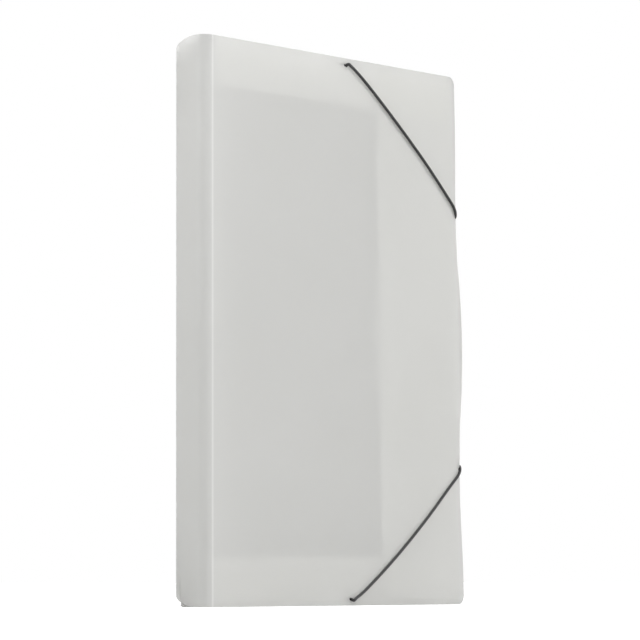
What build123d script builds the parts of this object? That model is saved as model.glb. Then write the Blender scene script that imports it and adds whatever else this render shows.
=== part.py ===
import math
import os

from build123d import *

os.makedirs("parts", exist_ok=True)

# A box file for loose papers, die-cut from one frosted sheet and folded.
# It stands on its bottom edge: X runs from the spine to the fore edge, Y from the
# front cover to the back cover, Z up. The origin is at the middle of the base.

# The sheet
height = 330.0
cover_width = 250.0
box_depth = 30.0
sheet = 0.8
sheet_gap = 0.3

# The creases: a groove leaves a web, and its flank a hair of the panel's square edge
web = 0.35
edge_hair = 0.0005
crease_width = 1.5
fold_radius = 1.2

# The rounded spine, seen from above
shoulder_turn = 8.0
shoulder_radius = 7.0
belly_radius = 45.0
bend_radius = 12.0

# The flaps
cover_overhang = 2.5
end_lip_depth = 28.5
end_lip_corner = 5.0
fore_lip_width = 81.5
fore_lip_corner = 8.0
fore_lip_taper = 4.5
fore_inset = 1.5
flap_root = 8.5
flap_front = 3.5
flap_gap = 0.7
lip_mitre_start = 1.3
lip_mitre = 7.0
relief_start = 6.0
relief_depth = 8.0
cover_corner = 6.0

# The elastic cords and the bars on their ends
cord_diameter = 1.8
cord_lift = 0.1
cord_hole = 2.4
hole_from_edge = 4.0
hole_from_fore_edge = 118.0
wrap_from_end = 84.0
nick_depth = 0.6
nick_width = 2.0
bar_diameter = 1.1
bar_length = 10.0
bar_gap = 0.05
edge_bar_inset = 0.5
hole_bend = 1.0

# Places worked out from those sizes
groove = sheet - web
start_angle = math.radians(shoulder_turn)
crease_half = crease_width / 2
shoulder_dx = -crease_half * math.cos(start_angle) + shoulder_radius * math.sin(start_angle)
shoulder_dy = crease_half * math.sin(start_angle) + shoulder_radius * math.cos(start_angle)
spine_bulge = shoulder_radius - shoulder_dx
belly_angle = math.asin((box_depth - bend_radius - shoulder_dy) / (belly_radius - bend_radius))
belly_dx = belly_radius - spine_bulge
bend_dx = belly_dx - (belly_radius - bend_radius) * math.cos(belly_angle)

crease_x = (spine_bulge - cover_width) / 2
fore_edge = crease_x + cover_width
wall_x = fore_edge - cover_overhang
front_y = -box_depth / 2
back_y = box_depth / 2
fore_lip_y = front_y + sheet + sheet_gap
end_lip_y = fore_lip_y + sheet + sheet_gap
bend_x = crease_x + bend_dx
root_x = crease_x + flap_root
end_wall_x = wall_x - sheet - flap_gap

shoulder_centre = (crease_x + shoulder_dx, front_y + shoulder_dy)
belly_centre = (crease_x + belly_dx, front_y + shoulder_dy)
bend_centre = (bend_x, back_y - bend_radius)


def strip(centre, radius, first, sweep):
    """Draw a strip of sheet, one sheet thick inside its outer radius, as a face."""
    inner = radius - sheet
    outside = CenterArc(centre, radius, first, sweep)
    inside = CenterArc(centre, inner, first, sweep)
    Line(outside @ 0, inside @ 0)
    Line(outside @ 1, inside @ 1)


def ring_quarter(centre, first, thickness=web):
    """Draw the quarter ring of thinned sheet that turns a fold's corner."""
    outside = CenterArc(centre, fold_radius, first, 90)
    inside = CenterArc(centre, fold_radius - thickness, first, 90)
    Line(outside @ 0, inside @ 0)
    Line(outside @ 1, inside @ 1)


def finish(part, name):
    """Label a finished piece and write it."""
    part.label = name
    export_step(part, f"parts/{name}.step")
    print(f"{name}: {part.volume:.1f} mm3, {len(part.solids())} solid")


def groove_flank(edges):
    """Thin the sheet towards a crease, on its inner side."""
    chamfer(edges, length=groove - edge_hair)


# At each end of the box the edge of the spine falls away in a curve to the root of the
# end flap, so that the flap can fold without catching. This is the waste of that cut.
relief_y = front_y + relief_start
with BuildPart() as relief_waste:
    for end_z, inward in ((0.0, 1), (height, -1)):
        with BuildSketch(Plane.YZ.offset(root_x)):
            with BuildLine():
                floor_z = end_z + inward * relief_depth
                clear_z = end_z - inward * sheet
                fall = TangentArc((relief_y, end_z), (back_y, floor_z), tangent=(1, 0))
                Polyline(
                    fall @ 1,
                    (back_y + sheet, floor_z),
                    (back_y + sheet, clear_z),
                    (relief_y, clear_z),
                    fall @ 0,
                )
            make_face()
        extrude(amount=-(flap_root + spine_bulge + sheet))


# The spine leaves the front crease almost level with the cover, turns a tight
# shoulder and then runs back in a slack curve.
shoulder_first = 270 - shoulder_turn
belly_sweep = math.degrees(belly_angle)
with BuildPart() as spine:
    with BuildSketch(Plane.XY):
        with BuildLine():
            strip(shoulder_centre, shoulder_radius, shoulder_first, 180 - shoulder_first)
        make_face()
        with BuildLine():
            strip(belly_centre, belly_radius, 180, -belly_sweep)
        make_face()
    extrude(amount=height)
    crease_end = spine.faces().sort_by(Axis.X)[-1]
    groove_flank(crease_end.edges().filter_by(Axis.Z).sort_by(Axis.Y)[-1])
    add(relief_waste.part, mode=Mode.SUBTRACT)
finish(spine.part, "spine")


# The soft bend between the spine and the back cover has no crease of its own.
with BuildPart() as back_bend:
    with BuildSketch(Plane.XY):
        with BuildLine():
            strip(bend_centre, bend_radius, 180 - belly_sweep, belly_sweep - 90)
        make_face()
    extrude(amount=height)
    add(relief_waste.part, mode=Mode.SUBTRACT)
finish(back_bend.part, "back_bend")

with BuildPart() as back_cover:
    with BuildSketch(Plane.XZ.offset(-back_y)):
        with Locations(((bend_x + wall_x - fold_radius) / 2, height / 2)):
            Rectangle(wall_x - fold_radius - bend_x, height - 2 * fold_radius)
    extrude(amount=sheet)
    add(relief_waste.part, mode=Mode.SUBTRACT)
    groove_flank(back_cover.edges().group_by(Axis.Y)[0].filter_by(Axis.Z).sort_by(Axis.X)[-1])
    groove_flank(back_cover.edges().group_by(Axis.Y)[0].filter_by(Axis.X).sort_by(Axis.Z)[0])
    groove_flank(back_cover.edges().group_by(Axis.Y)[0].filter_by(Axis.X).sort_by(Axis.Z)[-1])
finish(back_cover.part, "back_cover")

# The front crease is the thinned line that the cover swings on.
with BuildPart() as front_crease:
    with BuildSketch(Plane.XY):
        with BuildLine():
            spine_end = shoulder_centre + shoulder_radius * Vector(
                -math.sin(start_angle), -math.cos(start_angle)
            )
            spine_inner = spine_end + web * Vector(math.sin(start_angle), math.cos(start_angle))
            Polyline(
                (crease_x + crease_half, front_y),
                (crease_x, front_y),
                (spine_end.X, spine_end.Y),
                (spine_inner.X, spine_inner.Y),
                (crease_x, front_y + web),
                (crease_x + crease_half, front_y + web),
                close=True,
            )
        make_face()
    extrude(amount=height)
finish(front_crease.part, "front_crease")

# The front cover has a round hole for each cord near its top and bottom edges,
# and a shallow nick in its fore edge where the cord turns behind it.
hole_x = fore_edge - hole_from_fore_edge
with BuildPart() as front_cover:
    with BuildSketch(Plane.XZ.offset(-front_y)):
        with Locations(((crease_x + crease_half + fore_edge) / 2, height / 2)):
            Rectangle(cover_width - crease_half, height)
    extrude(amount=-sheet)
    fillet(front_cover.edges().filter_by(Axis.Y).group_by(Axis.X)[-1], cover_corner)
    with BuildSketch(Plane.XZ.offset(-front_y)):
        with Locations((hole_x, hole_from_edge), (hole_x, height - hole_from_edge)):
            Circle(cord_hole / 2)
        with Locations((fore_edge, wrap_from_end), (fore_edge, height - wrap_from_end)):
            SlotCenterToCenter(2 * nick_depth, nick_width)
    extrude(amount=-sheet, mode=Mode.SUBTRACT)
    groove_flank(front_cover.edges().filter_by(Axis.Z).group_by(Axis.X)[0].sort_by(Axis.Y)[-1])
finish(front_cover.part, "front_cover")

# The fore flap: a wall that closes the fore edge and a wide lip behind the cover.
with BuildPart() as fore_wall:
    with BuildSketch(Plane.YZ.offset(wall_x)):
        with Locations(((fore_lip_y + back_y) / 2, height / 2)):
            Rectangle(back_y - fore_lip_y - 2 * fold_radius, height - 2 * fore_inset)
    extrude(amount=-sheet)
    groove_flank(fore_wall.edges().filter_by(Axis.Z).group_by(Axis.X)[0])
finish(fore_wall.part, "fore_wall")

lip_fold_x = wall_x - fold_radius
lip_edge_x = wall_x - fore_lip_width
with BuildPart() as fore_lip:
    with BuildSketch(Plane.XZ.offset(-fore_lip_y)):
        with BuildLine():
            Polyline(
                (lip_fold_x, fore_inset),
                (lip_fold_x, height - fore_inset),
                (lip_edge_x, height - fore_inset - fore_lip_taper),
                (lip_edge_x, fore_inset + fore_lip_taper),
                close=True,
            )
        make_face()
    extrude(amount=-sheet)
    fillet(fore_lip.edges().filter_by(Axis.Y).group_by(Axis.X)[0], fore_lip_corner)
    groove_flank(fore_lip.edges().filter_by(Axis.Z).group_by(Axis.X)[-1].sort_by(Axis.Y)[-1])
finish(fore_lip.part, "fore_lip")

fore_folds = {
    "fore_back_crease": ((wall_x - fold_radius, back_y - fold_radius), 0),
    "fore_lip_crease": ((wall_x - fold_radius, fore_lip_y + fold_radius), 270),
}
for name, (centre, first) in fore_folds.items():
    with BuildPart() as fore_crease:
        with BuildSketch(Plane.XY.offset(fore_inset)):
            with BuildLine():
                ring_quarter(centre, first)
            make_face()
        extrude(amount=height - 2 * fore_inset)
    finish(fore_crease.part, name)

# The two end flaps are alike, one at the top and one turned over at the bottom.
wall_front_y = end_lip_y + fold_radius
wall_back_y = back_y - fold_radius
lip_fold_end = end_wall_x - lip_mitre_start


def end_flap(end, outer_z, inward):
    """Make one end flap: its wall, its lip and their two creases, reaching inward from outer_z."""
    fold_z = outer_z + inward * fold_radius
    tip_z = outer_z + inward * end_lip_depth
    with BuildPart() as wall:
        with BuildSketch(Plane.XY.offset(outer_z)):
            with BuildLine():
                Polyline(
                    (crease_x + flap_front, wall_front_y),
                    (end_wall_x, wall_front_y),
                    (end_wall_x, wall_back_y),
                    (root_x, wall_back_y),
                    close=True,
                )
            make_face()
        extrude(amount=inward * sheet)
        inner = wall.faces().filter_by(Axis.Z).sort_by(Axis.Z)[-1 if inward > 0 else 0]
        groove_flank(inner.edges().filter_by(Axis.X))
    finish(wall.part, f"{end}_wall")

    with BuildPart() as lip:
        with BuildSketch(Plane.XZ.offset(-end_lip_y)):
            with BuildLine():
                Polyline(
                    (crease_x + flap_front, fold_z),
                    (lip_fold_end, fold_z),
                    (lip_fold_end - lip_mitre, tip_z),
                    (crease_x + flap_front, tip_z),
                    close=True,
                )
            make_face()
        extrude(amount=-sheet)
        tip_edges = lip.edges().filter_by(Axis.Y).sort_by(Axis.Z)
        fillet(tip_edges[-2:] if inward > 0 else tip_edges[:2], end_lip_corner)
        fold_edges = lip.edges().filter_by(Axis.X).group_by(Axis.Z)[0 if inward > 0 else -1]
        groove_flank(fold_edges.sort_by(Axis.Y)[-1])
    finish(lip.part, f"{end}_lip")

    # Seen along X, the creases turn the corners between the covers and the wall.
    folds = {
        "back_crease": (wall_back_y, root_x, end_wall_x, 0 if inward < 0 else 270),
        "lip_crease": (wall_front_y, crease_x + flap_front, lip_fold_end, 90 if inward < 0 else 180),
    }
    for fold, (centre_y, first_x, last_x, first) in folds.items():
        with BuildPart() as crease:
            with BuildSketch(Plane.YZ.offset(first_x)):
                with BuildLine():
                    ring_quarter((centre_y, fold_z), first)
                make_face()
            extrude(amount=last_x - first_x)
        finish(crease.part, f"{end}_{fold}")


end_flap("top", height, -1)
end_flap("bottom", 0.0, 1)

# Each elastic cord comes out of its hole, lies across the corner of the cover with a
# slight outward bow, and turns through the nick to its bar behind the fore edge.
cord_y = front_y - cord_lift - cord_diameter / 2
cover_inner_y = front_y + sheet
wrap_x = fore_edge + cord_diameter / 2 - nick_depth
cord_route = [
    (hole_x, cover_inner_y, height - hole_from_edge),
    (hole_x, cord_y, height - hole_from_edge),
    (hole_x + 27, cord_y, height - 18.4),
    (hole_x + 56, cord_y, height - 36.5),
    (hole_x + 84, cord_y, height - 56.0),
    (wrap_x, cord_y, height - wrap_from_end),
    (wrap_x, cover_inner_y, height - wrap_from_end),
]
run_share = 0.45


def corner_radii(points):
    """The arc at each corner of a route, as large as its two runs allow, small at the ends."""
    radii = []
    for before, here, after in zip(points, points[1:], points[2:]):
        first = Vector(here) - Vector(before)
        second = Vector(after) - Vector(here)
        half_turn = math.radians(first.get_angle(second)) / 2
        shorter = min(first.length, second.length)
        radii.append(run_share * shorter / math.tan(half_turn))
    radii[0] = hole_bend
    radii[-1] = hole_bend
    return radii


def flip(points):
    """Turn a route over, from the top end of the box to the bottom end."""
    return [(x, y, height - z) for x, y, z in points]


for end, route in {"upper": cord_route, "lower": flip(cord_route)}.items():
    radii = corner_radii(route)
    with BuildPart() as cord:
        with BuildLine() as centreline:
            FilletPolyline(*route, radius=radii)
        path = centreline.wires()[0]
        with BuildSketch(Plane(origin=route[0], z_dir=path % 0)):
            Circle(cord_diameter / 2)
        sweep(path=path)
    finish(cord.part, f"{end}_cord")
    section = math.pi * cord_diameter**2 / 4
    print("  arcs", [round(r, 1) for r in radii], "length", round(path.length, 1))
    print("  volume over section times length", round(cord.part.volume / section / path.length, 4))

# A moulded bar on each cord end is wider than its hole or nick and holds from behind.
bar_y = cover_inner_y + bar_gap + bar_diameter / 2
stub_radius = (cord_diameter + bar_diameter) / 4


def end_bar(name, x, z, cord_x, along):
    """Make one cord end: a round bar along X or Z, with a stub that takes the cord."""
    with BuildPart() as bar:
        with BuildSketch(Plane(origin=(x, bar_y, z), z_dir=along)):
            Circle(bar_diameter / 2)
        extrude(amount=bar_length / 2, both=True)
        ends = bar.edges().filter_by(GeomType.CIRCLE)
        chamfer(ends, length=bar_diameter / 5)
        with BuildSketch(Plane(origin=(cord_x, bar_y, z), z_dir=(0, -1, 0))):
            Circle(stub_radius)
        extrude(amount=bar_y - cover_inner_y)
    finish(bar.part, name)


edge_bar_x = fore_edge - edge_bar_inset
for end, hole_z, wrap_z in (
    ("upper", height - hole_from_edge, height - wrap_from_end),
    ("lower", hole_from_edge, wrap_from_end),
):
    end_bar(f"{end}_cord_inner_bar", hole_x, hole_z, hole_x, (1, 0, 0))
    end_bar(f"{end}_cord_edge_bar", edge_bar_x, wrap_z, wrap_x, (0, 0, 1))
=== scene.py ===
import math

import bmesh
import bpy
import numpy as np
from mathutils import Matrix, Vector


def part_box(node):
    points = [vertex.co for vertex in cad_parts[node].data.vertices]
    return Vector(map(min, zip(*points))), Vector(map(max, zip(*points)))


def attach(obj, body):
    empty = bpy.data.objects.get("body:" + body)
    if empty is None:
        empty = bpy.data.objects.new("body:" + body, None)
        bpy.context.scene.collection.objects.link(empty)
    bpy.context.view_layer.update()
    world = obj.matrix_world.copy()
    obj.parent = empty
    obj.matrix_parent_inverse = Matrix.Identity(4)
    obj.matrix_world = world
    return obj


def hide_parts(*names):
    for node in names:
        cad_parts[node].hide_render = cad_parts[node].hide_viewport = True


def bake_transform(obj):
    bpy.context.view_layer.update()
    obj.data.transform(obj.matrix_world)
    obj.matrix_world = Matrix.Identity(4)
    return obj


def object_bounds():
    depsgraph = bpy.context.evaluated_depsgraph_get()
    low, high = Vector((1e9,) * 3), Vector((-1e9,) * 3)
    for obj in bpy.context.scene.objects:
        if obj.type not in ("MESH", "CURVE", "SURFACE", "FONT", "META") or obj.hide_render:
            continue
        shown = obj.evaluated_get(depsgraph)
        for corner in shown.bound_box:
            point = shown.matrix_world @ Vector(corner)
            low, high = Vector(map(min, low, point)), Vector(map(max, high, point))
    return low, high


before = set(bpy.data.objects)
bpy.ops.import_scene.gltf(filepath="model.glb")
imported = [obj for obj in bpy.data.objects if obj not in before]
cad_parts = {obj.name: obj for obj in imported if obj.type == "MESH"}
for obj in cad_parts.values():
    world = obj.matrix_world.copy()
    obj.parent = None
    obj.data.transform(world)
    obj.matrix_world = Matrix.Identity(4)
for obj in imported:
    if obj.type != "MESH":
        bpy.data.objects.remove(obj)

# %% [markdown]
# This lesson dresses the CAD model of a folded box file. The real one is a single sheet of
# frosted plastic, creased and folded into two covers, a spine and three flaps, and two black
# elastic cords hold it shut. The CAD model is the frame and is never moved. Each piece made
# here copies one of its nodes, or follows its sizes, and rides on the same moving body. The
# box of the CAD model is measured first.

cad_low, cad_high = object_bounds()

MM = 0.001
HEIGHT = 330 * MM
SHEET = 0.8 * MM
FOLD_RADIUS = 1.2 * MM
HALF_CREASE = 0.75 * MM
cover_low, cover_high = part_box("front_cover")
CREASE_X = cover_low.x - HALF_CREASE
FORE_EDGE = cover_high.x
COVER_WIDTH = FORE_EDGE - CREASE_X
FRONT_Y = cover_low.y
BACK_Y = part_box("back_cover")[1].y
BEND_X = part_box("back_bend")[1].x
WALL_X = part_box("fore_wall")[1].x
FORE_LIP_INNER_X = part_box("fore_lip")[0].x
FORE_LIP_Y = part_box("fore_lip")[0].y
END_LIP_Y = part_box("top_lip")[0].y
print("CAD box in mm:", [round(v / MM, 1) for v in cad_high - cad_low])

# %% [markdown]
# The photograph was taken from far off with a long lens, which keeps upright edges nearly
# parallel. The camera stands to the left, a little above the floor, so the spine and the
# front cover both show. It could be aimed by eye, but an outline that fits to a pixel needs
# a fit, so its place came from the corners of the cover and the outline of the spine.

# %% Camera
EYE = Vector((-1920.0, -1432.0, 18.2)) * MM
YAW = math.radians(53.3082)
PITCH = math.radians(3.66065)
ROLL = math.radians(-0.10539)
LENS = 224.44

ahead = Vector((math.sin(YAW) * math.cos(PITCH), math.cos(YAW) * math.cos(PITCH), math.sin(PITCH)))
level_right = Vector((math.cos(YAW), -math.sin(YAW), 0.0))
level_up = level_right.cross(ahead)
right = math.cos(ROLL) * level_right + math.sin(ROLL) * level_up
up = -math.sin(ROLL) * level_right + math.cos(ROLL) * level_up

camera = bpy.data.objects.new("camera", bpy.data.cameras.new("camera"))
bpy.context.scene.collection.objects.link(camera)
camera.matrix_world = Matrix.Translation(EYE) @ Matrix((right, up, -ahead)).transposed().to_4x4()
camera.data.lens = LENS
camera.data.clip_start = 0.1
camera.data.clip_end = 50
bpy.context.scene.camera = camera
bpy.context.scene.view_settings.view_transform = "Standard"
print("camera is", round(EYE.length, 2), "m from the base")

# %% [markdown]
# A thin plastic box is never quite flat. In the photograph the fore edge of the cover leans
# back at the top and forward at the bottom, the cords pull that edge in a little, the round
# back of the spine is drawn in, and the fore flap's fold bows out between the cords. Moving
# points by hand or a lattice for each piece could do it, but then the gaps between pieces
# drift. Here one smooth function, lean, moves every piece in the same way, so neighbours stay
# together, and leaves the back cover where it is. A second one, bow, moves the fore flap.

# %% How the closed box leans and bows
TOP_LEAN = 4.15 * MM
BOTTOM_LEAN = -2.05 * MM
UPPER_PULL = 0.8 * MM
UPPER_PULL_Z = HEIGHT - 84 * MM
UPPER_REACH = 28 * MM
LOWER_PULL = 1.6 * MM
LOWER_PULL_Z = 72 * MM
LOWER_REACH = 36 * MM
SPINE_PULL = 2 * MM
FLAP_BOW = 12 * MM
BOW_Z = 163 * MM
BOW_REACH = 60 * MM
SHARP_ANGLE = math.radians(35)


def bell(z, middle, reach):
    """Say how near z is to the middle: 1 there, and fading over the reach."""
    return np.exp(-(((z - middle) / reach) ** 2))


def lean(points):
    """Move points, an array of rows x y z, as the closed box has settled."""
    x, y, z = points.T
    along = np.clip((x - CREASE_X) / COVER_WIDTH, 0, None)
    front = np.clip((BACK_Y - y) / (BACK_Y - FRONT_Y), 0, 1)
    edge = BOTTOM_LEAN + (TOP_LEAN - BOTTOM_LEAN) * z / HEIGHT
    pull = UPPER_PULL * bell(z, UPPER_PULL_Z, UPPER_REACH)
    pull += LOWER_PULL * bell(z, LOWER_PULL_Z, LOWER_REACH)
    rounding = np.clip((BEND_X - x) / (BEND_X - cad_low.x), 0, 1)
    moved = points.copy()
    moved[:, 0] += SPINE_PULL * rounding * (1 - front)
    moved[:, 1] += front * (along * edge + along**3 * pull)
    return moved


def bow(points):
    """Move points of the fore flap, whose fold bows out between the two cords."""
    x, y, z = points.T
    out = FLAP_BOW * bell(z, BOW_Z, BOW_REACH)
    up_wall = np.clip((BACK_Y - y) / (BACK_Y - FORE_LIP_Y), 0, 1)
    across = np.clip((x - FORE_LIP_INNER_X) / (WALL_X - FORE_LIP_INNER_X), 0, 1)
    moved = points.copy()
    moved[:, 0] += out * up_wall * across**2
    # The wall keeps its length, so it grows shallower where it tips out.
    moved[:, 1] += out**2 / (2 * (BACK_Y - FORE_LIP_Y)) * up_wall
    return moved


def settle(piece, *moves):
    """Put a piece's points through the moves, one after the other, and shade it smoothly."""
    mesh = piece.data
    points = np.zeros(len(mesh.vertices) * 3)
    mesh.vertices.foreach_get("co", points)
    points = points.reshape(-1, 3)
    for move in moves:
        points = move(points)
    mesh.vertices.foreach_set("co", points.ravel())
    mesh.update()
    mesh.polygons.foreach_set("use_smooth", [True] * len(mesh.polygons))
    mesh.set_sharp_from_angle(angle=SHARP_ANGLE)


print("fore edge leans", TOP_LEAN / MM, "mm back at the top,", -BOTTOM_LEAN / MM, "mm forward below")


# %% [markdown]
# Colours are written as they look on a screen and turned to linear light by one function.
# A second small function adds a shader or geometry node with its settings and its links. A
# socket is named, or numbered where names repeat: a Mix Shader mixes inputs 1 and 2 by input
# 0, and a Mix of colours has its colours at inputs 6 and 7 and its result at output 2.

# %% Colour and node helpers
def linear(hex_colour):
    """Turn an sRGB hex colour into linear RGBA."""
    parts = [int(hex_colour[i:i + 2], 16) / 255 for i in (1, 3, 5)]
    return [c / 12.92 if c <= 0.04045 else ((c + 0.055) / 1.055) ** 2.4 for c in parts] + [1.0]


def add(tree, kind, settings=None, inputs=None):
    """Add one node, set its properties, and set or link its inputs, named or numbered."""
    node = tree.nodes.new(kind)
    for name, value in (settings or {}).items():
        setattr(node, name, value)
    for key, value in (inputs or {}).items():
        if isinstance(value, bpy.types.NodeSocket):
            tree.links.new(value, node.inputs[key])
        else:
            node.inputs[key].default_value = value
    return node


def new_material(name):
    """Start an empty node material."""
    material = bpy.data.materials.new(name)
    material.use_nodes = True
    material.node_tree.nodes.clear()
    return material


print("white paper #f2f2f2 is", round(linear("#f2f2f2")[0], 2), "in linear light")

# %% [markdown]
# Polypropylene sheet is extruded and pressed between rollers, one of them finely sandblasted.
# The resin is milky by itself. Of the light that meets a face, some bounces off, most glows
# on through and some goes straight, so what touches the sheet from behind shows as a
# soft-edged shape and what lies deeper is lost. More layers look paler than fewer, and that
# is why the flaps show through the cover. The grain spreads every highlight, and broad
# shallow waves and rubbed places keep the large faces from looking ideal.
# A milky volume inside each sheet, or subsurface light, could give the same look. Both are
# slow and grainy in a sheet under a millimetre thick, so each face mixes the three kinds of
# light itself. The grain is drawn coarser than the real one, which is too fine to show.

# %% Frosted polypropylene
GRAIN_SIZE = 0.5 * MM
GRAIN_DEPTH = 0.02 * MM
WAVE_SIZE = 70 * MM
WAVE_DEPTH = 0.35 * MM
FACE_PALE = "#f8f8f7"
FACE_DULL = "#f3f3f1"
GLOW_COLOUR = "#fdfdfc"
WAVE_LOW = 0.35
WAVE_HIGH = 0.65
ROUGH_LOW = 0.38
ROUGH_HIGH = 0.48
POLYPROPYLENE_IOR = 1.49


def frosted_sheet(name, face_pale, face_dull, glow_share, clear_share):
    """Milky plastic: light bounces off it, glows through it and a little goes straight."""
    material = new_material(name)
    tree = material.node_tree
    place = add(tree, "ShaderNodeTexCoord")
    grain = add(tree, "ShaderNodeTexNoise", inputs={
        "Vector": place.outputs["Object"], "Scale": 1 / GRAIN_SIZE, "Detail": 2.0})
    matt = add(tree, "ShaderNodeBump", inputs={
        "Height": grain.outputs["Fac"], "Strength": 0.35, "Distance": GRAIN_DEPTH})
    waves = add(tree, "ShaderNodeTexNoise", inputs={
        "Vector": place.outputs["Object"], "Scale": 1 / WAVE_SIZE, "Detail": 1.0})
    uneven = add(tree, "ShaderNodeBump", inputs={
        "Height": waves.outputs["Fac"], "Strength": 1.0, "Distance": WAVE_DEPTH,
        "Normal": matt.outputs["Normal"]})
    # Rubbed places are smoother and a little duller than the fresh matt skin.
    rubbed = add(tree, "ShaderNodeMapRange", inputs={
        "Value": waves.outputs["Fac"], "From Min": WAVE_LOW, "From Max": WAVE_HIGH,
        "To Min": ROUGH_LOW, "To Max": ROUGH_HIGH})
    shade = add(tree, "ShaderNodeMix", {"data_type": "RGBA"}, {
        "Factor": waves.outputs["Fac"], 6: linear(face_dull), 7: linear(face_pale)})
    face = add(tree, "ShaderNodeBsdfPrincipled", inputs={
        "Base Color": shade.outputs[2], "Roughness": rubbed.outputs["Result"],
        "IOR": POLYPROPYLENE_IOR, "Normal": uneven.outputs["Normal"]})
    glow = add(tree, "ShaderNodeBsdfTranslucent", inputs={"Color": linear(GLOW_COLOUR)})
    milky = add(tree, "ShaderNodeMixShader", inputs={
        0: glow_share, 1: face.outputs[0], 2: glow.outputs[0]})
    clear = add(tree, "ShaderNodeBsdfTransparent")
    sheet = add(tree, "ShaderNodeMixShader", inputs={
        0: clear_share, 1: milky.outputs[0], 2: clear.outputs[0]})
    add(tree, "ShaderNodeOutputMaterial", inputs={"Surface": sheet.outputs[0]})
    return material


frosted = frosted_sheet(
    "frosted polypropylene sheet", FACE_PALE, FACE_DULL, glow_share=0.68, clear_share=0.3)
# Pressing and bending a crease opens tiny voids in the plastic, which scatter light, so the
# thinned web is whiter and less see-through than the sheet beside it. Its paler colour is partly
# that real whitening and partly a painted highlight along the fold.
whitened_and_highlit = frosted_sheet(
    "stress-whitened crease with painted highlight", "#fdfdfc", "#f9f9f8", glow_share=0.6, clear_share=0.22)
print("made", frosted.name, "and", whitened_and_highlit.name)

# %% [markdown]
# A round elastic has a rubber core with black polyester yarn braided over it. The yarn is
# matt, with a soft sheen where the fibres stand up. A wave texture could draw the yarns, but it
# would not follow the cord, so the braid writes how high each point lies in an attribute, and the
# colour follows that: painted shade in the low places between yarns and a painted sheen on their
# crowns. The bars on the cord ends are moulded in smooth black plastic, which shows a soft clear
# highlight.

# %% Braided elastic and moulded bars
# The crown colour is a painted sheen and the gap colour a painted shade, mixed by yarn height.
YARN_CROWN_PAINTED_SHEEN = "#2b2b2c"
YARN_GAP_PAINTED_SHADE = "#0d0d0e"
PAINTED_SHADE_GAP_HEIGHT = -0.2
FIBRE_SHEEN = 0.3
BAR_BLACK = "#1d1d1e"
FLOW_SIZE = 1.5 * MM
FLOW_DEPTH = 0.02 * MM
POLYESTER_IOR = 1.5
POLYSTYRENE_IOR = 1.59


def black_braid():
    """Matt black yarn, with painted shade between the yarns and a painted sheen on their crowns."""
    material = new_material("black braided polyester")
    tree = material.node_tree
    height = add(tree, "ShaderNodeAttribute", {"attribute_name": "yarn"})
    sheen_and_shade_mask = add(tree, "ShaderNodeMapRange", inputs={
        "Value": height.outputs["Fac"], "From Min": PAINTED_SHADE_GAP_HEIGHT, "From Max": 1.0})
    shade = add(tree, "ShaderNodeMix", {"data_type": "RGBA"}, {
        "Factor": sheen_and_shade_mask.outputs["Result"], 6: linear(YARN_GAP_PAINTED_SHADE), 7: linear(YARN_CROWN_PAINTED_SHEEN)})
    yarn = add(tree, "ShaderNodeBsdfPrincipled", inputs={
        "Base Color": shade.outputs[2], "Roughness": 0.8, "IOR": POLYESTER_IOR,
        "Sheen Weight": FIBRE_SHEEN})
    add(tree, "ShaderNodeOutputMaterial", inputs={"Surface": yarn.outputs[0]})
    return material


def moulded_black():
    """Smooth black plastic with the faint unevenness of a moulded skin."""
    material = new_material("moulded black polystyrene")
    tree = material.node_tree
    place = add(tree, "ShaderNodeTexCoord")
    flow = add(tree, "ShaderNodeTexNoise", inputs={
        "Vector": place.outputs["Object"], "Scale": 1 / FLOW_SIZE, "Detail": 1.0})
    skin = add(tree, "ShaderNodeBump", inputs={
        "Height": flow.outputs["Fac"], "Strength": 0.4, "Distance": FLOW_DEPTH})
    plastic = add(tree, "ShaderNodeBsdfPrincipled", inputs={
        "Base Color": linear(BAR_BLACK), "Roughness": 0.3, "IOR": POLYSTYRENE_IOR,
        "Normal": skin.outputs["Normal"]})
    add(tree, "ShaderNodeOutputMaterial", inputs={"Surface": plastic.outputs[0]})
    return material


elastic = black_braid()
bar_plastic = moulded_black()
print("made", elastic.name, "and", bar_plastic.name)

# %% [markdown]
# Each cord comes up out of its hole, bows over the sheet, crosses the corner of the cover in
# an almost straight line and turns behind the fore edge. Straight runs joined by arcs would
# look like bent wire, so its line is one smooth spline. The control points are listed one by
# one: three make the bow at the hole, the middle ones follow the slack that the photograph
# shows, and the last two take the cord round the edge.

# %% The cords' routes
CORD_DIAMETER = 1.8 * MM
INNER_Y = FRONT_Y + SHEET
CORD_Y = FRONT_Y - 1 * MM
HOOK_Y = CORD_Y - 0.7 * MM
HOLE_X = FORE_EDGE - 118 * MM
WRAP_X = FORE_EDGE + 0.3 * MM
SPLINE_STEPS = 24

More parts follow.
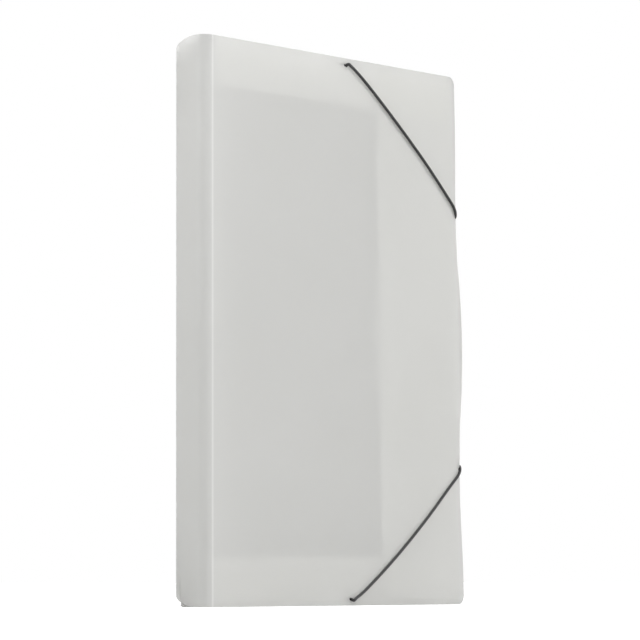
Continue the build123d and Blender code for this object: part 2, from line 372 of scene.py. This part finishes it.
upper_route = [
    (HOLE_X + 1.4 * MM, INNER_Y, HEIGHT - 4.8 * MM),
    (HOLE_X + 0.9 * MM, HOOK_Y, HEIGHT - 3.3 * MM),
    (HOLE_X + 4.4 * MM, CORD_Y, HEIGHT - 4.3 * MM),
    (HOLE_X + 13.6 * MM, CORD_Y, HEIGHT - 8.9 * MM),
    (HOLE_X + 32 * MM, CORD_Y, HEIGHT - 20.6 * MM),
    (HOLE_X + 56 * MM, CORD_Y, HEIGHT - 37 * MM),
    (HOLE_X + 84 * MM, CORD_Y, HEIGHT - 57.1 * MM),
    (HOLE_X + 104 * MM, CORD_Y, HEIGHT - 73.1 * MM),
    (WRAP_X + 0.6 * MM, CORD_Y, HEIGHT - 85.4 * MM),
    (WRAP_X - 0.4 * MM, INNER_Y, HEIGHT - 88.7 * MM),
]
lower_route = [
    (HOLE_X + 1.5 * MM, INNER_Y, 4 * MM),
    (HOLE_X + 0.9 * MM, HOOK_Y, 2.7 * MM),
    (HOLE_X + 4.4 * MM, CORD_Y, 4.6 * MM),
    (HOLE_X + 11.9 * MM, CORD_Y, 7.9 * MM),
    (HOLE_X + 32 * MM, CORD_Y, 20.2 * MM),
    (HOLE_X + 56 * MM, CORD_Y, 36 * MM),
    (HOLE_X + 84 * MM, CORD_Y, 56 * MM),
    (HOLE_X + 104 * MM, CORD_Y, 71.8 * MM),
    (WRAP_X + 1.1 * MM, CORD_Y, 83.2 * MM),
    (WRAP_X + 0.2 * MM, INNER_Y, 86.1 * MM),
]


def plain_mesh(holder):
    """Give what an object's curve or modifiers make as a plain mesh."""
    bpy.context.view_layer.update()
    view = bpy.context.evaluated_depsgraph_get()
    return bpy.data.meshes.new_from_object(holder.evaluated_get(view))


def cord_line(name, route):
    """Make the route's smooth spline, leaning with the cover, as an open line of points."""
    curve = bpy.data.curves.new(name, "CURVE")
    curve.dimensions = "3D"
    spline = curve.splines.new("NURBS")
    spline.points.add(len(route) - 1)
    for point, place in zip(spline.points, lean(np.array(route))):
        point.co = (*place, 1.0)
    spline.order_u = 3
    spline.use_endpoint_u = True
    spline.resolution_u = SPLINE_STEPS
    holder = bpy.data.objects.new(name, curve)
    bpy.context.scene.collection.objects.link(holder)
    line = plain_mesh(holder)
    bpy.data.objects.remove(holder)
    return line


def run_length(line):
    """Measure an open line of mesh points from end to end."""
    places = [v.co for v in line.vertices]
    return sum((b - a).length for a, b in zip(places, places[1:]))


lines = {
    "upper": cord_line("upper_cord_line", upper_route),
    "lower": cord_line("lower_cord_line", lower_route),
}
for end, line in lines.items():
    print(end, "cord runs", round(run_length(line) / MM, 1), "mm")

# %% [markdown]
# A braid is two sets of yarns wound round the core in opposite ways, and where they cross
# one lies on top. Each yarn could be its own thin tube, or the braid only a bump. Tubes would
# take too many faces, and a bump would leave the cord's edge smooth. Geometry Nodes suit it,
# because the same yarn repeats along the whole line. The tree sweeps a circle along the
# line, then lifts each point by whichever of the two helices is higher there. At the
# photograph's distance this reads as a slight texture.

# %% Braid swept along a line
BRAID_SIZES = {
    "Diameter": CORD_DIAMETER,
    "Ring Step": 0.25 * MM,
    "Sides": 24,
    "Yarns Each Way": 6,
    "Braid Pitch": 2.4 * MM,
    "Yarn Height": 0.06 * MM,
}


def braid_tree():
    """Build the tree that sweeps a round braid along a line of mesh points."""
    tree = bpy.data.node_groups.new("braid along a line", "GeometryNodeTree")
    face = tree.interface
    face.new_socket("Line", in_out="INPUT", socket_type="NodeSocketGeometry")
    for name, value in BRAID_SIZES.items():
        kind = "NodeSocketInt" if isinstance(value, int) else "NodeSocketFloat"
        face.new_socket(name, in_out="INPUT", socket_type=kind)
    face.new_socket("Yarn", in_out="INPUT", socket_type="NodeSocketMaterial")
    face.new_socket("Cord", in_out="OUTPUT", socket_type="NodeSocketGeometry")
    given = add(tree, "NodeGroupInput").outputs

    def maths(operation, first, second=None):
        inputs = {0: first} if second is None else {0: first, 1: second}
        return add(tree, "ShaderNodeMath", {"operation": operation}, inputs).outputs[0]

    def keep(geometry, name, value):
        return add(tree, "GeometryNodeStoreNamedAttribute", {"data_type": "FLOAT", "domain": "POINT"},
                   {"Geometry": geometry, "Name": name, "Value": value}).outputs[0]

    def recall(name):
        return add(tree, "GeometryNodeInputNamedAttribute", {"data_type": "FLOAT"},
                   {"Name": name}).outputs[0]

    # The line is cut into even steps, and every ring learns how far along it lies.
    line = add(tree, "GeometryNodeMeshToCurve", inputs={"Mesh": given["Line"]}).outputs[0]
    even = add(tree, "GeometryNodeResampleCurve", {"mode": "LENGTH"},
               {"Curve": line, "Length": given["Ring Step"]}).outputs[0]
    even = keep(even, "along", add(tree, "GeometryNodeSplineParameter").outputs["Length"])
    # The ring's points learn their angle round the core.
    radius = maths("DIVIDE", given["Diameter"], 2.0)
    ring = add(tree, "GeometryNodeCurvePrimitiveCircle", {"mode": "RADIUS"},
               {"Resolution": given["Sides"], "Radius": radius}).outputs[0]
    share = add(tree, "GeometryNodeSplineParameter").outputs["Factor"]
    ring = keep(ring, "around", maths("MULTIPLY", share, 2 * math.pi))
    tube = add(tree, "GeometryNodeCurveToMesh",
               inputs={"Curve": even, "Profile Curve": ring, "Fill Caps": True}).outputs[0]
    # Of the two opposite helices, the higher one is the yarn on top.
    turns = maths("MULTIPLY", recall("around"), given["Yarns Each Way"])
    wound = maths("MULTIPLY", maths("DIVIDE", recall("along"), given["Braid Pitch"]), 2 * math.pi)
    one_way = maths("COSINE", maths("ADD", turns, wound))
    other_way = maths("COSINE", maths("SUBTRACT", turns, wound))
    yarn = maths("MAXIMUM", one_way, other_way)
    height = maths("MULTIPLY", yarn, maths("DIVIDE", given["Yarn Height"], 2.0))
    normal = add(tree, "GeometryNodeInputNormal").outputs[0]
    lift = add(tree, "ShaderNodeVectorMath", {"operation": "SCALE"},
               {0: normal, "Scale": height}).outputs[0]
    # The height is kept for the material, which paints shade in the low places and a sheen on the
    # crowns.
    tube = keep(tube, "yarn", yarn)
    tube = add(tree, "GeometryNodeSetPosition", inputs={"Geometry": tube, "Offset": lift}).outputs[0]
    tube = add(tree, "GeometryNodeRealizeInstances", inputs={"Geometry": tube}).outputs[0]
    dressed = add(tree, "GeometryNodeSetMaterial",
                  inputs={"Geometry": tube, "Material": given["Yarn"]}).outputs[0]
    add(tree, "NodeGroupOutput", inputs={"Cord": dressed})
    return tree


def run_tree(name, line, tree, sizes):
    """Run a tree on a line of points with named sizes and keep the result as a plain mesh."""
    holder = bpy.data.objects.new(f"{name}_line", line)
    bpy.context.scene.collection.objects.link(holder)
    modifier = holder.modifiers.new(name, "NODES")
    modifier.node_group = tree
    for item in tree.interface.items_tree:
        if item.in_out == "INPUT" and item.name in sizes:
            modifier[item.identifier] = sizes[item.name]
    mesh = plain_mesh(holder)
    bpy.data.objects.remove(holder)
    piece = bpy.data.objects.new(name, mesh)
    bpy.context.scene.collection.objects.link(piece)
    mesh.polygons.foreach_set("use_smooth", [True] * len(mesh.polygons))
    return piece


braid = braid_tree()
cords = {}
for end, line in lines.items():
    cords[end] = run_tree(f"elastic_cord_{end}", line, braid, {**BRAID_SIZES, "Yarn": elastic})
    print(end, "cord has", len(cords[end].data.polygons), "faces")


# %% [markdown]
# A short moulded bar is crimped on each cord end, so that it can't slip back through the
# sheet. Two lie behind the holes and two behind the fore edge, where the sheet blurs them.
# New bars could be modelled, but the CAD ones already have the right form, so they are
# copied, shaded smoothly and moved with the cover.

# %% End bars
MERGE_DISTANCE = 0.002 * MM


def merged_copy(node_name):
    """Copy a CAD node's loose triangles into one closed skin, still held as a bmesh."""
    work = bmesh.new()
    work.from_mesh(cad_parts[node_name].data)
    bmesh.ops.remove_doubles(work, verts=work.verts, dist=MERGE_DISTANCE)
    return work


def as_object(work, name, material):
    """Turn a bmesh into a named object with one material, and free the bmesh."""
    mesh = bpy.data.meshes.new(name)
    work.to_mesh(mesh)
    work.free()
    mesh.materials.append(material)
    piece = bpy.data.objects.new(name, mesh)
    bpy.context.scene.collection.objects.link(piece)
    return piece


for end, cord in cords.items():
    for node_name in (f"{end}_cord_inner_bar", f"{end}_cord_edge_bar"):
        bar = as_object(merged_copy(node_name), f"moulded_{node_name}", bar_plastic)
        settle(bar, lean)
        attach(bar, "front_cover")
        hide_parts(node_name)
    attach(cord, "front_cover")
    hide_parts(f"{end}_cord")

# %% [markdown]
# The box is die-cut from one sheet, and each fold line is pressed thin so that it bends like
# a hinge. New panels could be made as thickened planes, but copies of the CAD panels keep
# every cut-out and edge. They are cut about every centimetre, so that they can lean. Each
# crease is copied and cut in the same way, and leans in place with the rest.

# %% Panels and creases
CUT_STEP = 10 * MM
CUT_TOLERANCE = 1e-7
PANELS = {
    "back_cover": "root",
    "spine": "spine",
    "front_cover": "front_cover",
    "fore_wall": "fore_wall",
    "fore_lip": "fore_lip",
    "top_wall": "top_wall",
    "top_lip": "top_lip",
    "bottom_wall": "bottom_wall",
    "bottom_lip": "bottom_lip",
}
bend_low, bend_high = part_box("back_bend")
CREASES = {
    "back_bend": ("root", "spine", (bend_high.x, bend_high.y, 0), (bend_low.x, bend_low.y, 0)),
    "front_crease": ("spine", "front_cover",
                     (CREASE_X - HALF_CREASE, FRONT_Y, 0), (CREASE_X + HALF_CREASE, FRONT_Y, 0)),
    "fore_back_crease": ("root", "fore_wall",
                         (WALL_X - FOLD_RADIUS, BACK_Y, 0), (WALL_X, BACK_Y - FOLD_RADIUS, 0)),
    "fore_lip_crease": ("fore_wall", "fore_lip",
                        (WALL_X, FORE_LIP_Y + FOLD_RADIUS, 0), (WALL_X - FOLD_RADIUS, FORE_LIP_Y, 0)),
    "top_back_crease": ("root", "top_wall",
                        (0, BACK_Y, HEIGHT - FOLD_RADIUS), (0, BACK_Y - FOLD_RADIUS, HEIGHT)),
    "top_lip_crease": ("top_wall", "top_lip",
                       (0, END_LIP_Y + FOLD_RADIUS, HEIGHT), (0, END_LIP_Y, HEIGHT - FOLD_RADIUS)),
    "bottom_back_crease": ("root", "bottom_wall",
                           (0, BACK_Y, FOLD_RADIUS), (0, BACK_Y - FOLD_RADIUS, 0)),
    "bottom_lip_crease": ("bottom_wall", "bottom_lip",
                          (0, END_LIP_Y + FOLD_RADIUS, 0), (0, END_LIP_Y, FOLD_RADIUS)),
}
FORE_FLAP = ("fore_back_crease", "fore_wall", "fore_lip_crease", "fore_lip")


def bendable_copy(node_name, material):
    """Copy a CAD node as one skin, cut across its width and height so that it can bend."""
    work = merged_copy(node_name)
    low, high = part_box(node_name)
    for axis in (0, 2):
        cuts = int((high[axis] - low[axis]) / CUT_STEP)
        across = Vector((0, 0, 0))
        across[axis] = 1
        for i in range(1, cuts + 1):
            place = across * (low[axis] + (high[axis] - low[axis]) * i / (cuts + 1))
            everything = work.verts[:] + work.edges[:] + work.faces[:]
            bmesh.ops.bisect_plane(work, geom=everything, plane_co=place, plane_no=across,
                                   dist=CUT_TOLERANCE)
    open_edges = sum(len(edge.link_faces) != 2 for edge in work.edges)
    return as_object(work, f"sheet_{node_name}", material), open_edges


for name in [*PANELS, *CREASES]:
    # Pressed creases get the paler crease material, which also holds a painted highlight along the
    # fold.
    pressed = name in CREASES and name != "back_bend"
    piece, open_edges = bendable_copy(name, whitened_and_highlit if pressed else frosted)
    moves = (bow, lean) if name in FORE_FLAP else (lean,)
    if name in CREASES:
        before, after, start, end = CREASES[name]
        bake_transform(piece)
        settle(piece, *moves)
    else:
        settle(piece, *moves)
        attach(piece, PANELS[name])
    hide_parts(name)
    print(name, "has", len(piece.data.polygons), "faces and", open_edges, "open edges")

# %% [markdown]
# The box stands on a pale painted floor in front of a white backdrop. Brighter lamps could
# make both white, but they would bleach the box. So the camera sees both as white from their
# own materials. Near the box the floor's glow is weaker, so that the box's soft shadow still
# shows, and it reaches full white further out, so that no horizon shows. Glossy rays see the
# white too. Light that glows through the sheet counts as transmission, and it is left out,
# or the backdrop would light the box from behind.

# %% Floor and white backdrop
FLOOR_HALF = 6.0
FLOOR_GAP = 0.05 * MM
NEAR_GLOW = 0.6
FULL_GLOW = 1.0
NEAR_REACH = 0.25
FULL_REACH = 0.9
AMBIENT = 0.06


def seen_share(tree):
    """Give 1 on rays from the camera and off glossy faces, and 0 on all others."""
    paths = add(tree, "ShaderNodeLightPath")
    return add(tree, "ShaderNodeMath", {"operation": "ADD", "use_clamp": True}, {
        0: paths.outputs["Is Camera Ray"], 1: paths.outputs["Is Glossy Ray"]}).outputs[0]


def pale_floor():
    """Matt floor paint, white to the camera apart from the box's shadow."""
    material = new_material("pale studio floor paint")
    tree = material.node_tree
    paint = add(tree, "ShaderNodeBsdfDiffuse", inputs={"Color": linear("#e8e8e8")})
    place = add(tree, "ShaderNodeTexCoord")
    away = add(tree, "ShaderNodeVectorMath", {"operation": "LENGTH"}, {0: place.outputs["Object"]})
    reach = add(tree, "ShaderNodeMapRange", {"interpolation_type": "SMOOTHSTEP"}, {
        "Value": away.outputs["Value"], "From Min": NEAR_REACH, "From Max": FULL_REACH,
        "To Min": NEAR_GLOW, "To Max": FULL_GLOW})
    strength = add(tree, "ShaderNodeMath", {"operation": "MULTIPLY"}, {
        0: seen_share(tree), 1: reach.outputs["Result"]})
    glow = add(tree, "ShaderNodeEmission", inputs={
        "Color": linear("#ffffff"), "Strength": strength.outputs[0]})
    both = add(tree, "ShaderNodeAddShader", inputs={0: paint.outputs[0], 1: glow.outputs[0]})
    add(tree, "ShaderNodeOutputMaterial", inputs={"Surface": both.outputs[0]})
    return material


floor_mesh = bpy.data.meshes.new("studio_floor")
CORNER_SIGNS = ((-1, -1), (1, -1), (1, 1), (-1, 1))
corners = [(sx * FLOOR_HALF, sy * FLOOR_HALF, 0) for sx, sy in CORNER_SIGNS]
floor_mesh.from_pydata(corners, [], [(0, 1, 2, 3)])
floor_mesh.materials.append(pale_floor())
floor = bpy.data.objects.new("studio_floor", floor_mesh)
floor.location.z = -FLOOR_GAP
bpy.context.scene.collection.objects.link(floor)

world = bpy.data.worlds.new("white studio")
bpy.context.scene.world = world
world.use_nodes = True
sky = world.node_tree
sky.nodes.clear()
seen = add(sky, "ShaderNodeBackground", inputs={"Color": linear("#ffffff"), "Strength": 1.0})
lit = add(sky, "ShaderNodeBackground", inputs={"Color": linear("#ffffff"), "Strength": AMBIENT})
backdrop = add(sky, "ShaderNodeMixShader", inputs={
    0: seen_share(sky), 1: lit.outputs[0], 2: seen.outputs[0]})
add(sky, "ShaderNodeOutputWorld", inputs={"Surface": backdrop.outputs[0]})
print("floor is", 2 * FLOOR_HALF, "m wide, world lights with", AMBIENT)

# %% [markdown]
# The cords' soft shadows fall to their left and down, so the main light is broad and stands
# to the right of the camera and above it. One light alone would leave the spine too dark, so
# a smaller one on the left lights it from above. It stands near, because the photograph
# shows the spine growing darker towards the floor.

# %% Lights
BOX_MIDDLE = Vector((0, 0, HEIGHT / 2))


def soft_light(name, place, size, power):
    """Add a round soft light at a place, turned towards the middle of the box."""
    data = bpy.data.lights.new(name, "AREA")
    data.shape = "DISK"
    data.size = size
    data.energy = power
    light = bpy.data.objects.new(name, data)
    light.location = place
    light.rotation_euler = (BOX_MIDDLE - Vector(place)).to_track_quat("-Z", "Y").to_euler()
    bpy.context.scene.collection.objects.link(light)
    print(name, "is", round((BOX_MIDDLE - Vector(place)).length, 2), "m away")


soft_light("key light", (0.8, -1.6, 1.4), size=1.7, power=44.2)
soft_light("spine light", (-0.62, -0.05, 0.95), size=0.5, power=6)
